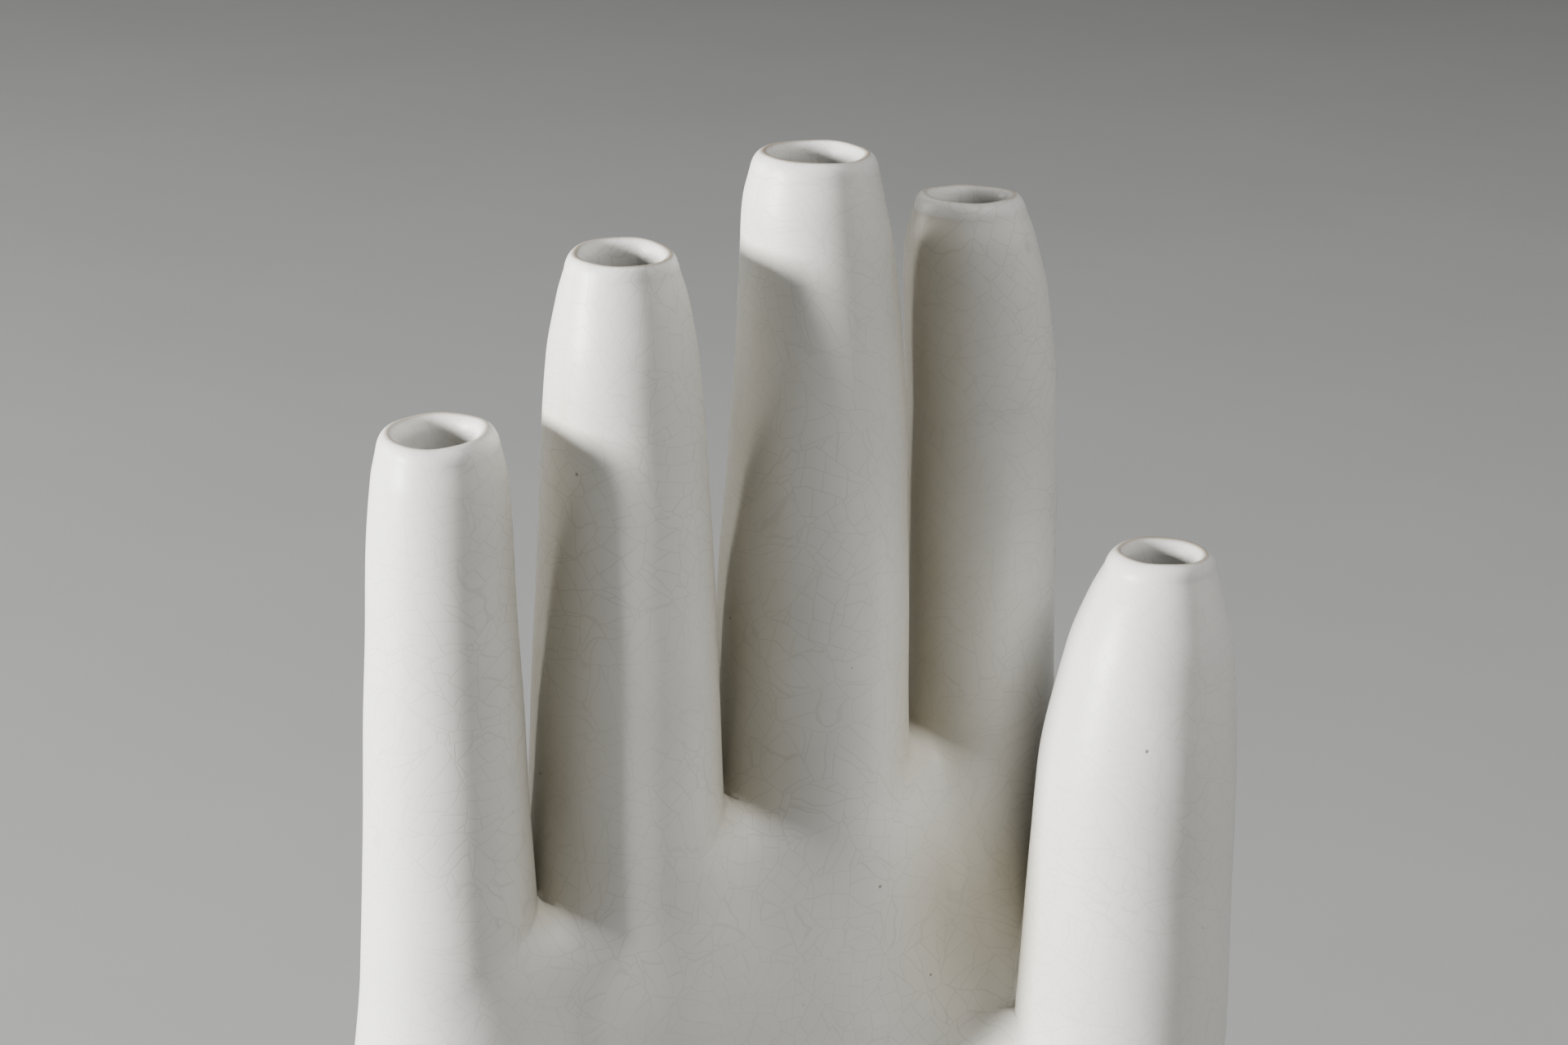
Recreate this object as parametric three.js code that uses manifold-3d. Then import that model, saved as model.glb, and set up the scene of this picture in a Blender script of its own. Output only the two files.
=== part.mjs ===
// A ceramic flower vase in the form of an upright open hand. The five digits are hollow tubes that end
// in open, rolled mouths, and they all lead into one hollow palm that stands on an oval foot.
// Millimetres, +Z up. The palm faces -Y, the little finger stands at -X and the thumb at +X. While the
// vase is built, x and y are measured from the middle of the palm.
import * as THREE from "three";
import { mergeVertices } from "three/addons/utils/BufferGeometryUtils.js";
import Module from "manifold-3d";

// The hand's main sizes: the palm's width over the knuckles, and its height up to the web between
// middle and index finger.
const PALM_WIDTH = 120;
const PALM_HEIGHT = 150;

// Digits. across is where the mouth stands, as a share of the palm's width from its middle, y how far
// back, and top the height of the lip. lean is how far the axis moves over from there, and radii are how
// thick the digit is, at DEPTHS below the lip, down to rootDepth, where it melts into the palm. tilt is
// the slope of the mouth across and front to back.
const DEPTHS = [2.6, 7, 16, 36, 70, 110];
const LITTLE = {
  name: "little_finger",
  top: 214.3,
  across: -0.391,
  y: 0,
  lean: [0, 0, -0.1, -0.3, -0.4, -0.9],
  radii: [9.6, 10.5, 11.2, 12.1, 13.5, 15.2],
  mouthRadius: 7.5,
  tilt: [0.045, 0.05],
  rootDepth: 110,
};
const RING = {
  name: "ring_finger",
  top: 238,
  across: -0.132,
  y: 0,
  lean: [0, 0, -0.2, -0.1, -0.5, -1.1],
  radii: [9, 10.3, 11.9, 13.3, 15, 16.6],
  mouthRadius: 7.4,
  tilt: [0, 0.05],
  rootDepth: 110,
};
const MIDDLE = {
  name: "middle_finger",
  top: 249.9,
  across: 0.145,
  y: 0,
  lean: [0, -0.1, 0.5, 0.9, -0.1, -0.7],
  radii: [10.2, 11.2, 12.3, 13.7, 15.5, 16.5],
  mouthRadius: 8.2,
  tilt: [-0.025, 0],
  rootDepth: 110,
};
const INDEX = {
  name: "index_finger",
  top: 240,
  across: 0.379,
  y: 0,
  lean: [0, 0.2, 1.3, 2.8, 3, 3.2],
  radii: [9.2, 10.6, 11.7, 12.5, 12.6, 13],
  mouthRadius: 7.1,
  tilt: [-0.04, -0.02],
  rootDepth: 110,
};
const THUMB = {
  name: "thumb",
  top: 186,
  across: 0.5325,
  y: -30,
  lean: [0, -0.6, -1.5, -3.2, -4.4, -5.9],
  radii: [9.1, 10.9, 13.6, 16.2, 17.3, 18.6],
  mouthRadius: 6.9,
  tilt: [-0.025, 0],
  rootDepth: 82,
};
const FINGERS = [LITTLE, RING, MIDDLE, INDEX];
const DIGITS = [...FINGERS, THUMB];

// Webs, the saddles between neighbouring digits: heights above the table, and how far three of them lie
// below the highest one.
const LITTLE_WEB_DROP = 15;
const RING_WEB_DROP = 4;
const THUMB_WEB_DROP = 44;
const WEB_LITTLE_RING = PALM_HEIGHT - LITTLE_WEB_DROP;
const WEB_RING_MIDDLE = PALM_HEIGHT - RING_WEB_DROP;
const WEB_MIDDLE_INDEX = PALM_HEIGHT;
const WEB_THUMB = PALM_HEIGHT - THUMB_WEB_DROP;

// How softly the forms run into each other: a web's blend grows as it goes down, and the least and the
// most that it gets; the thumb's ball is softer still.
const LEAST_BLEND = 0.6;
const SADDLE_RISE = 1; // the blend closes a gap this far above the height at which the digits are luted
const FINGER_BLEND = { growth: 0.5, most: 15 };
const THUMB_BLEND = { growth: 0.8, most: 24 };

// Palm and wrist: sections at heights above the table. width is a share of the palm's width, x and y
// are the section's middle, and oval is 1 where it is an oval and 0 where it is flat with round ends.
const WRIST_END = { z: 0, width: 0.85, depth: 70, x: 5, y: -9, oval: 1 };
const WRIST = { z: 34, width: 0.767, depth: 62, x: 4, y: -8, oval: 1 };
const PALM_HEEL = { z: 70, width: 0.85, depth: 48, x: 2, y: -3, oval: 0.6 };
const PALM_MIDDLE = { z: 104, width: 1, depth: 34, x: 0, y: 1, oval: 0 };
const KNUCKLES = { z: 152, width: 0.967, depth: 24, x: 0, y: 1, oval: 0 };
const PALM_SECTIONS = [WRIST_END, WRIST, PALM_HEEL, PALM_MIDDLE, KNUCKLES];
const PALM_TOP_DROP = 8; // the palm's own top lies this far below the webs
const PALM_TOP_ROUND = 15;
const PALM_BLEND = 8; // between the palm and the columns that run down into it
// Where the columns die away inside the palm: the fingers draw together above the wrist, and the thumb's
// ball runs down and inwards.
const FINGER_HEEL = { z: 30, draw: 0.5, y: -4, radius: 10 };
const THUMB_HEEL = { z: 30, x: 20, y: -10, radius: 18 };

// Walls, lip and base.
const WALL = 4.2;
const LIP_TURN = 75; // degrees that the lip rolls outwards from its crest before it runs into the side
const LIP_WIDTH = 1.5; // inward roll of the lip, from its crest to the throat
const LIP_DEPTH = 2.6;
const THROAT_DEPTH = 15; // the bore reaches its full width this far below the lip
const TILT_DEPTH = 26; // the slope of a mouth has died away this far down
const LEAST_GAP = 0.3; // between a digit and what stands close beside it, just above their web
const RESERVOIR_DROP = 8; // the wide hollow in the palm ends this far below the thumb's web
const FOOT_HEIGHT = 5;
const BASE_THICKNESS = 7;
const BASE_CHAMFER = 1.2;
const FOOT_INSET = 3.5; // the foot ring stands in from the wall above it
const FOOT_WIDTH = 8;
const FOOT_CHAMFER = 0.8;
const PALM_BOTTOM = FOOT_HEIGHT + BASE_THICKNESS;
const RESERVOIR_TOP = WEB_THUMB - RESERVOIR_DROP;
const BORE_OVERLAP = 12; // a digit's bore starts this far down in the reservoir
const OVERCUT = 1; // a cut runs this far past the face that it opens

// Fineness of the faces, and of the walk that traces an outline.
const DIGIT_SIDES = 30;
const BORE_SIDES = 15;
const BASE_SIDES = 72;
const RESERVOIR_SIDES = 56;
const PALM_SPACING = 4.8;
const PALM_STEP = 8; // height from cut to cut up the palm, the reservoir and the bores under the digits
const RESERVOIR_STEP = 12;
const BORE_STEP = 14;
const TRACE_STEP = 0.7;
const SLOPE_STEP = 0.05; // the distance's slope is taken over this much to each side
const LEAST_SLOPE = 0.05; // squared, so that a flat place doesn't throw the walk far off
const SIDE_PRECISION = 1e-6; // to which a digit's side is found
const SHORTEST_PATH = 8; // steps of an outline, so that it doesn't end where it began
const LONGEST_PATH = 4000;

const wasm = await Module();
wasm.setup();

const clamp = THREE.MathUtils.clamp;
const lerp = THREE.MathUtils.lerp;

// A smooth curve through values given at rising stations, straight on beyond both ends.
function curveThrough(stations, values, at) {
  const last = stations.length - 1;
  const slope = (i) => (values[i + 1] - values[i]) / (stations[i + 1] - stations[i]);
  if (at <= stations[0]) return values[0] + (at - stations[0]) * slope(0);
  if (at >= stations[last]) return values[last] + (at - stations[last]) * slope(last - 1);
  const i = stations.findIndex((s) => s > at) - 1;
  const span = stations[i + 1] - stations[i];
  const t = (at - stations[i]) / span;
  const tangent = (j) => {
    if (j === 0 || j === last) return slope(Math.min(j, last - 1));
    const [a, b] = [slope(j - 1), slope(j)];
    return a * b <= 0 ? 0 : (2 * a * b) / (a + b);
  };
  const [m0, m1] = [tangent(i) * span, tangent(i + 1) * span];
  return (
    (1 + 2 * t) * (1 - t) ** 2 * values[i] +
    t * (1 - t) ** 2 * m0 +
    t * t * (3 - 2 * t) * values[i + 1] +
    t * t * (t - 1) * m1
  );
}

// The lesser of two distances, rounded over the width of the blend.
function blendedMin(a, b, blend) {
  const h = Math.max(blend - Math.abs(a - b), 0) / blend;
  return Math.min(a, b) - (h * h * blend) / 4;
}

// Keeps what has been worked out for a height, because a cut asks for the same one many times.
function perHeight(work) {
  const known = new Map();
  return (z) => {
    if (!known.has(z)) known.set(z, work(z));
    return known.get(z);
  };
}

const palmSection = perHeight((z) => {
  const heights = PALM_SECTIONS.map((s) => s.z);
  const at = (key) => curveThrough(heights, PALM_SECTIONS.map((s) => s[key]), z);
  return {
    halfWidth: (PALM_WIDTH / 2) * at("width"),
    halfDepth: at("depth") / 2,
    x: at("x"),
    y: at("y"),
    oval: clamp(at("oval"), 0, 1),
  };
});

// Centre and radius of a digit's column at a height. Above its root it follows the digit, below it
// leans to the wrist and slims until the palm has swallowed it.
function measureColumn(digit, z) {
  const onDigit = (depth) => ({
    x: PALM_WIDTH * digit.across + curveThrough(DEPTHS, digit.lean, depth),
    y: digit.y,
    radius: curveThrough(DEPTHS, digit.radii, depth),
  });
  const depth = digit.top - z;
  if (depth <= digit.rootDepth) return onDigit(depth);
  const root = onDigit(digit.rootDepth);
  const heel = digit === THUMB ? THUMB_HEEL : fingerHeel(root);
  const rootHeight = digit.top - digit.rootDepth;
  const sink = clamp((rootHeight - z) / (rootHeight - heel.z), 0, 1);
  const ease = sink * sink * (3 - 2 * sink);
  return {
    x: lerp(root.x, heel.x, ease),
    y: lerp(root.y, heel.y, ease),
    radius: lerp(root.radius, heel.radius, ease),
  };
}

function fingerHeel(root) {
  const wrist = palmSection(FINGER_HEEL.z);
  return { ...FINGER_HEEL, x: lerp(wrist.x, root.x, FINGER_HEEL.draw) };
}

const columns = new Map(DIGITS.map((d) => [d, perHeight((z) => measureColumn(d, z))]));
const columnAt = (digit, z) => columns.get(digit)(z);

function columnDistance(digit, x, y, z) {
  const c = columnAt(digit, z);
  return Math.hypot(x - c.x, y - c.y) - c.radius;
}

// The height of the webs across the hand, from the gap at the little finger to the gap at the index.
function gapX(left, right, z) {
  const [a, b] = [columnAt(left, z), columnAt(right, z)];
  return (a.x + a.radius + b.x - b.radius) / 2;
}
const webStations = [
  gapX(LITTLE, RING, WEB_LITTLE_RING),
  gapX(RING, MIDDLE, WEB_RING_MIDDLE),
  gapX(MIDDLE, INDEX, WEB_MIDDLE_INDEX),
];
const webHeights = [WEB_LITTLE_RING, WEB_RING_MIDDLE, WEB_MIDDLE_INDEX];
function webHeight(x) {
  return curveThrough(webStations, webHeights, clamp(x, webStations[0], webStations[2]));
}

// Distance to the palm and wrist, closed by a soft top under the webs.
function palmDistance(x, y, z) {
  const s = palmSection(z);
  const [dx, dy] = [x - s.x, y - s.y];
  const flat = Math.hypot(Math.max(Math.abs(dx) - (s.halfWidth - s.halfDepth), 0), dy) - s.halfDepth;
  const share = Math.hypot(dx / s.halfWidth, dy / s.halfDepth);
  const round = share === 0 ? -s.halfDepth : Math.hypot(dx, dy) * (1 - 1 / share);
  const side = lerp(flat, round, s.oval);
  const above = z - (webHeight(x) - PALM_TOP_DROP);
  return -blendedMin(-side, -above, PALM_TOP_ROUND);
}

// The webs between neighbours. A web's blend is just wide enough there to close the gap.
const WEBS = [
  { between: [LITTLE, RING], z: WEB_LITTLE_RING },
  { between: [RING, MIDDLE], z: WEB_RING_MIDDLE },
  { between: [MIDDLE, INDEX], z: WEB_MIDDLE_INDEX },
  { between: [INDEX, THUMB], z: WEB_THUMB },
];
const isFingerWeb = (web) => !web.between.includes(THUMB);
for (const web of WEBS) {
  const [a, b] = web.between.map((digit) => columnAt(digit, web.z));
  web.gap = Math.hypot(b.x - a.x, b.y - a.y) - a.radius - b.radius;
}
function webBlend(web, z) {
  const { growth, most } = isFingerWeb(web) ? FINGER_BLEND : THUMB_BLEND;
  return clamp(2 * web.gap + growth * (web.z + SADDLE_RISE - z), LEAST_BLEND, most);
}

// Distance to the skin of the whole hand, or of the digits named in it. Less than zero is inside.
function handDistance(x, y, z, digits) {
  const near = WEBS.filter((web) => web.between.every((digit) => digits.includes(digit)));
  let fingers = Infinity;
  for (const digit of digits) {
    if (digit === THUMB) continue;
    const own = columnDistance(digit, x, y, z);
    const web = near.find((w) => w.between[1] === digit);
    fingers = web ? blendedMin(fingers, own, webBlend(web, z)) : Math.min(fingers, own);
  }
  const palm = blendedMin(palmDistance(x, y, z), fingers, PALM_BLEND);
  if (!digits.includes(THUMB)) return palm;
  const thumbWeb = near.find((web) => !isFingerWeb(web));
  return blendedMin(palm, columnDistance(THUMB, x, y, z), webBlend(thumbWeb, z));
}

// The outline where a horizontal cut meets distance = -inset, walked round from its leftmost point.
function traceOutline(distance, z, inset, start) {
  const value = (p) => distance(p.x, p.y, z) + inset;
  const e = SLOPE_STEP;
  const slopeAt = (p) =>
    new THREE.Vector2(
      (distance(p.x + e, p.y, z) - distance(p.x - e, p.y, z)) / (2 * e),
      (distance(p.x, p.y + e, z) - distance(p.x, p.y - e, z)) / (2 * e),
    );
  const settle = (p) => {
    for (let i = 0; i < 3; i++) {
      const slope = slopeAt(p);
      const step = clamp(value(p) / Math.max(slope.lengthSq(), LEAST_SLOPE), -TRACE_STEP, TRACE_STEP);
      p.addScaledVector(slope, -step);
    }
    return p;
  };
  const first = new THREE.Vector2(start.x, start.y);
  while (value(first) < 0) first.x -= TRACE_STEP;
  settle(first);
  const path = [first.clone()];
  let p = first.clone();
  while (path.length < LONGEST_PATH) {
    const out = slopeAt(p).normalize();
    p = settle(new THREE.Vector2(p.x - out.y * TRACE_STEP, p.y + out.x * TRACE_STEP));
    if (path.length > SHORTEST_PATH && p.distanceTo(first) < TRACE_STEP) break;
    path.push(p.clone());
  }
  return path;
}

// The same number of points, evenly spaced along each outline.
function evenPoints(path, count) {
  const ends = [0];
  for (let i = 0; i < path.length; i++) {
    ends.push(ends[i] + path[i].distanceTo(path[(i + 1) % path.length]));
  }
  const total = ends[path.length];
  const out = [];
  let j = 0;
  for (let i = 0; i < count; i++) {
    const at = (total * i) / count;
    while (ends[j + 1] < at) j += 1;
    const t = (at - ends[j]) / (ends[j + 1] - ends[j]);
    out.push(path[j].clone().lerp(path[(j + 1) % path.length], t));
  }
  return out;
}

// A skin over rings of points, closed at the bottom and top, or back on its first ring.
function loft(rings, closeOnItself) {
  const sides = rings[0].length;
  const positions = rings.flat().flatMap((p) => [p.x, p.y, p.z]);
  const index = [];
  const last = closeOnItself ? rings.length : rings.length - 1;
  for (let i = 0; i < last; i++) {
    const [low, high] = [i * sides, ((i + 1) % rings.length) * sides];
    for (let j = 0; j < sides; j++) {
      const k = (j + 1) % sides;
      index.push(low + j, low + k, high + k, low + j, high + k, high + j);
    }
  }
  if (!closeOnItself) {
    const flat = (ring) => ring.map((p) => new THREE.Vector2(p.x, p.y));
    const capOf = (ring) => THREE.ShapeUtils.triangulateShape(flat(ring), []);
    for (const [a, b, c] of capOf(rings[0])) index.push(a, c, b);
    const top = (rings.length - 1) * sides;
    for (const [a, b, c] of capOf(rings[rings.length - 1])) index.push(top + a, top + b, top + c);
  }
  const g = new THREE.BufferGeometry();
  g.setAttribute("position", new THREE.Float32BufferAttribute(positions, 3));
  g.setIndex(index);
  return g;
}

function solid(geometry) {
  const g = mergeVertices(geometry, 1e-5);
  return new wasm.Manifold(
    new wasm.Mesh({
      numProp: 3,
      vertProperties: g.attributes.position.array,
      triVerts: new Uint32Array(g.index.array),
    }),
  );
}

function geometryOf(manifold) {
  const mesh = manifold.getMesh();
  const g = new THREE.BufferGeometry();
  g.setAttribute("position", new THREE.BufferAttribute(mesh.vertProperties, 3));
  g.setIndex(new THREE.BufferAttribute(mesh.triVerts, 1));
  const flat = g.toNonIndexed();
  flat.computeVertexNormals();
  return flat;
}

// The height at which a digit is luted to the palm: for a finger the higher of the webs at its sides
// that lie between fingers.
const websOf = (digit) => WEBS.filter((web) => web.between.includes(digit));
function jointHeight(digit) {
  const webs = digit === THUMB ? websOf(digit) : websOf(digit).filter(isFingerWeb);
  return Math.max(...webs.map((w) => w.z));
}

// Heights from low to high, closing up towards the high end where the outline changes fastest.
function levels(low, high, spacing) {
  const count = Math.max(2, Math.ceil((high - low) / spacing) + 1);
  return Array.from({ length: count + 1 }, (_, i) => high - (high - low) * (1 - i / count) ** 1.5);
}

const ringAt = (outline, z) => outline.map((p) => new THREE.Vector3(p.x, p.y, z));

// The middle of the gap between a digit and its neighbour: the way to it and its distance from the axis.
function gapMiddle(digit, web, z) {
  const own = columnAt(digit, z);
  const other = columnAt(web.between.find((d) => d !== digit), z);
  const apart = Math.hypot(other.x - own.x, other.y - own.y);
  return {
    own,
    x: (other.x - own.x) / apart,
    y: (other.y - own.y) / apart,
    distance: own.radius + (apart - own.radius - other.radius - LEAST_GAP) / 2,
  };
}

// Moves a point of the palm back out of the room of a digit that has already parted from the group.
function keepToOwnSide(point, z, group) {
  for (const web of WEBS) {
    const inGroup = web.between.filter((d) => group.includes(d));
    if (inGroup.length !== 1) continue;
    const gap = gapMiddle(inGroup[0], web, z);
    const past = (point.x - gap.own.x) * gap.x + (point.y - gap.own.y) * gap.y - gap.distance;
    if (past > 0) point.set(point.x - past * gap.x, point.y - past * gap.y);
  }
  return point;
}

// A stretch of the palm's outer form between two heights, round the digits that still hang together
// there.
function palmStretch(low, high, group) {
  const distance = (x, y, z) => handDistance(x, y, z, group);
  const trace = (z) => traceOutline(distance, z, 0, columnAt(group[0], z));
  const sides = Math.round((trace(low).length * TRACE_STEP) / PALM_SPACING);
  const ring = (z) => evenPoints(trace(z), sides).map((p) => keepToOwnSide(p, z, group));
  return loft(levels(low, high, PALM_STEP).map((z) => ringAt(ring(z), z)));
}

// The digits that still hang together right up to a height, as groups of neighbours.
function connectedGroups(high) {
  const groups = [[FINGERS[0]]];
  for (const web of WEBS.filter(isFingerWeb)) {
    if (web.z >= high) groups[groups.length - 1].push(web.between[1]);
    else groups.push([web.between[1]]);
  }
  if (WEB_THUMB >= high) groups[groups.length - 1].push(THUMB);
  return groups.filter((group) => group.length > 1);
}

// The bore of a digit: a throat under the lip that widens to the digit's size less the wall.
function boreRadius(digit, depth) {
  const { radius } = columnAt(digit, digit.top - depth);
  const t = clamp((depth - LIP_DEPTH) / (THROAT_DEPTH - LIP_DEPTH), 0, 1);
  const throat = digit.mouthRadius - LIP_WIDTH;
  return lerp(throat, Math.max(radius - WALL, throat), t * t * (3 - 2 * t));
}

// The palm with its webs, the ball of the thumb and the wrist, hollowed from below, with a bore up into
// each digit.
function palmBody() {
  const heights = [...new Set(WEBS.map((w) => w.z))].sort((a, b) => a - b);
  let body = null;
  let low = PALM_BOTTOM;
  for (const high of heights) {
    for (const group of connectedGroups(high)) {
      const stretch = solid(palmStretch(low, high, group));
      body = body ? body.add(stretch) : stretch;
    }
    low = high;
  }
  const distance = (x, y, z) => handDistance(x, y, z, DIGITS);
  const hollow = levels(PALM_BOTTOM - OVERCUT, RESERVOIR_TOP, RESERVOIR_STEP).map((z) => {
    const path = traceOutline(distance, z, WALL, palmSection(z));
    return ringAt(evenPoints(path, RESERVOIR_SIDES), z);
  });
  body = body.subtract(solid(loft(hollow)));
  for (const digit of DIGITS) {
    const top = jointHeight(digit) + OVERCUT;
    const rings = levels(RESERVOIR_TOP - BORE_OVERLAP, top, BORE_STEP).map((z) =>
      circle(columnAt(digit, z), boreRadius(digit, digit.top - z), z),
    );
    body = body.subtract(solid(loft(rings)));
  }
  return geometryOf(body);
}

function circle(centre, radius, z) {
  return Array.from({ length: BORE_SIDES }, (_, i) => {
    const a = (2 * Math.PI * i) / BORE_SIDES;
    return new THREE.Vector3(centre.x + radius * Math.cos(a), centre.y + radius * Math.sin(a), z);
  });
}

// How far a digit's side lies from its axis: out to the skin of the hand, but never past the middle of
// the gap to its neighbour.
function sideRadius(digit, z, angle) {
  const own = columnAt(digit, z);
  const [ux, uy] = [Math.cos(angle), Math.sin(angle)];
  let limit = own.radius * 2;
  for (const web of websOf(digit)) {
    const gap = gapMiddle(digit, web, z);
    const along = ux * gap.x + uy * gap.y;
    if (along > 0) limit = Math.min(limit, gap.distance / along);
  }
  const value = (r) => handDistance(own.x + ux * r, own.y + uy * r, z, DIGITS);
  if (value(limit) < 0) return limit;
  let [inside, outside] = [own.radius / 2, limit];
  while (outside - inside > SIDE_PRECISION) {
    const middle = (inside + outside) / 2;
    if (value(middle) < 0) inside = middle;
    else outside = middle;
  }
  return inside;
}

// One digit: its outer side up from the joint, over the rolled lip and down the bore, back to the joint.
const SIDE_SHARES = [0, 0.02, 0.05, 0.1, 0.17, 0.27, 0.4, 0.55]; // of the length, up from the joint
const TIP_DEPTHS = [36, 24, 16, 10.5, 7, 4.5];
const BORE_DEPTHS = [8.25, THROAT_DEPTH, TIP_DEPTHS[0]];
const ROLL_STEPS = 4;
const TUCK_STEPS = 3;
function digitTube(digit) {
  const length = digit.top - jointHeight(digit);
  const turn = THREE.MathUtils.degToRad(LIP_TURN);
  const rings = [];
  const addRing = (depth, radiusAt) => {
    const z = digit.top - depth;
    const c = columnAt(digit, z);
    const fade = clamp(1 - depth / TILT_DEPTH, 0, 1);
    const ring = Array.from({ length: DIGIT_SIDES }, (_, i) => {
      const a = (2 * Math.PI * i) / DIGIT_SIDES;
      const r = radiusAt(a, z);
      const [dx, dy] = [r * Math.cos(a), r * Math.sin(a)];
      const lift = (dx * digit.tilt[0] + dy * digit.tilt[1]) * fade;
      return new THREE.Vector3(c.x + dx, c.y + dy, z + lift);
    });
    rings.push(ring);
  };
  for (const share of SIDE_SHARES) {
    addRing(length * (1 - share), (a, z) => sideRadius(digit, z, a));
  }
  for (const depth of TIP_DEPTHS) addRing(depth, (a, z) => columnAt(digit, z).radius);
  for (let i = ROLL_STEPS; i >= 0; i--) {
    const rolled = (turn * i) / ROLL_STEPS;
    const out = Math.sin(rolled) / Math.sin(turn);
    const depth = (DEPTHS[0] * (1 - Math.cos(rolled))) / (1 - Math.cos(turn));
    addRing(depth, () => lerp(digit.mouthRadius, digit.radii[0], out));
  }
  for (let i = 1; i <= TUCK_STEPS; i++) {
    const tucked = (Math.PI / 2) * (i / TUCK_STEPS);
    const radius = digit.mouthRadius - LIP_WIDTH * Math.sin(tucked);
    addRing(LIP_DEPTH * (1 - Math.cos(tucked)), () => radius);
  }
  for (const depth of [...BORE_DEPTHS, length]) {
    addRing(depth, () => boreRadius(digit, depth));
  }
  return loft(rings, true);
}

// The wrist's outline where it stands on the base, drawn in by an inset and set at a height.
function wristRing(inset, z) {
  const distance = (x, y) => handDistance(x, y, PALM_BOTTOM, FINGERS);
  const path = traceOutline(distance, PALM_BOTTOM, inset, palmSection(PALM_BOTTOM));
  return ringAt(evenPoints(path, BASE_SIDES), z);
}

// The flat slab that closes the wrist, with its lower edge chamfered.
function baseSlab() {
  return loft([
    wristRing(BASE_CHAMFER, FOOT_HEIGHT),
    wristRing(0, FOOT_HEIGHT + BASE_CHAMFER),
    wristRing(0, PALM_BOTTOM),
  ]);
}

// The ring foot under the slab: up its outer side, in, and down its inner side.
function footRing() {
  const inside = FOOT_INSET + FOOT_WIDTH;
  const rings = [
    wristRing(FOOT_INSET + FOOT_CHAMFER, 0),
    wristRing(FOOT_INSET, FOOT_CHAMFER),
    wristRing(FOOT_INSET, FOOT_HEIGHT),
    wristRing(inside, FOOT_HEIGHT),
    wristRing(inside, 0),
  ];
  return loft(rings, true);
}

const glaze = new THREE.MeshStandardMaterial({ color: 0xdedcd4, roughness: 0.42, metalness: 0 });
const bareClay = new THREE.MeshStandardMaterial({ color: 0xcfc0a4, roughness: 0.85, metalness: 0 });

const vase = new THREE.Group();
function piece(name, geometry, material) {
  const mesh = new THREE.Mesh(geometry, material);
  mesh.name = name;
  vase.add(mesh);
}
piece("palm_body", palmBody(), glaze);
for (const digit of DIGITS) piece(digit.name, digitTube(digit), glaze);
piece("base_slab", baseSlab(), glaze);
piece("foot_ring", footRing(), bareClay);

// The vase stands over the origin, in the middle of its width and depth.
const box = new THREE.Box3().setFromObject(vase);
const middle = box.getCenter(new THREE.Vector3());
vase.position.set(-middle.x, -middle.y, -box.min.z);

export default vase;
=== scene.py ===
"""A hand-shaped ceramic flower vase: five hollow digits with rolled open mouths, luted to a hollow palm
that stands on an oval foot, all under a white satin glaze with a fine crackle."""

import bpy
import numpy as np
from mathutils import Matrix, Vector


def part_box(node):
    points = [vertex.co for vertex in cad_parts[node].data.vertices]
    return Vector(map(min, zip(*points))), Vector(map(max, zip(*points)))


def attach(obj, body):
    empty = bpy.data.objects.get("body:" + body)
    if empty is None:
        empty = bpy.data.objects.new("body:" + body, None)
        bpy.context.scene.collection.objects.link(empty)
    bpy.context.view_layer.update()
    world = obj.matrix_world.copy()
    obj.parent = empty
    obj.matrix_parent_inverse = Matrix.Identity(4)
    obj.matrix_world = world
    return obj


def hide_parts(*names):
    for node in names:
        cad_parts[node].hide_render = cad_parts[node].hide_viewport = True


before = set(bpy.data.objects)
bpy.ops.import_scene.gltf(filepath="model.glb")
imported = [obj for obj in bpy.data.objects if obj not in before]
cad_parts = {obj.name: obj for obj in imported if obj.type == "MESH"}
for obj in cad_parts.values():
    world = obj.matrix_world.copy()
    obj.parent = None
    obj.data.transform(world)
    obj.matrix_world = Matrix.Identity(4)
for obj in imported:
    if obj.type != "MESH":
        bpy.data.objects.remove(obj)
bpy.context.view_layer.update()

# The form of the hand
# Clay tubes stand on an oval wrist and melt into a flat palm, with a soft saddle between each two.
# A distance tells the form, in millimetres: less than zero is clay, and zero is its skin.
MM = 0.001

# Each digit has its centre and radius at these depths below its top, down to its root, where it starts to
# draw in to a heel in the palm. Its lip's crest lies at the mouth's radius, in a plane that rises by the
# tilt along x and y, and the tube is luted on at the height of the joint.
DEPTHS = [2.6, 7, 16, 36, 70, 110]
LITTLE = {
    "node": "little_finger",
    "top": 214.3,
    "y": 0,
    "axis_x": [-58.9, -58.9, -59, -59.2, -59.3, -59.8],
    "radii": [9.6, 10.5, 11.2, 12.1, 13.5, 15.2],
    "mouth": 7.5,
    "tilt": (0.045, 0.05),
    "root_depth": 110,
    "joint": 135,
}
RING = {
    "node": "ring_finger",
    "top": 238,
    "y": 0,
    "axis_x": [-27.8, -27.8, -28, -27.9, -28.3, -28.9],
    "radii": [9, 10.3, 11.9, 13.3, 15, 16.6],
    "mouth": 7.4,
    "tilt": (0, 0.05),
    "root_depth": 110,
    "joint": 146,
}
MIDDLE = {
    "node": "middle_finger",
    "top": 249.9,
    "y": 0,
    "axis_x": [5.4, 5.3, 5.9, 6.3, 5.3, 4.7],
    "radii": [10.2, 11.2, 12.3, 13.7, 15.5, 16.5],
    "mouth": 8.2,
    "tilt": (-0.025, 0),
    "root_depth": 110,
    "joint": 150,
}
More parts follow.
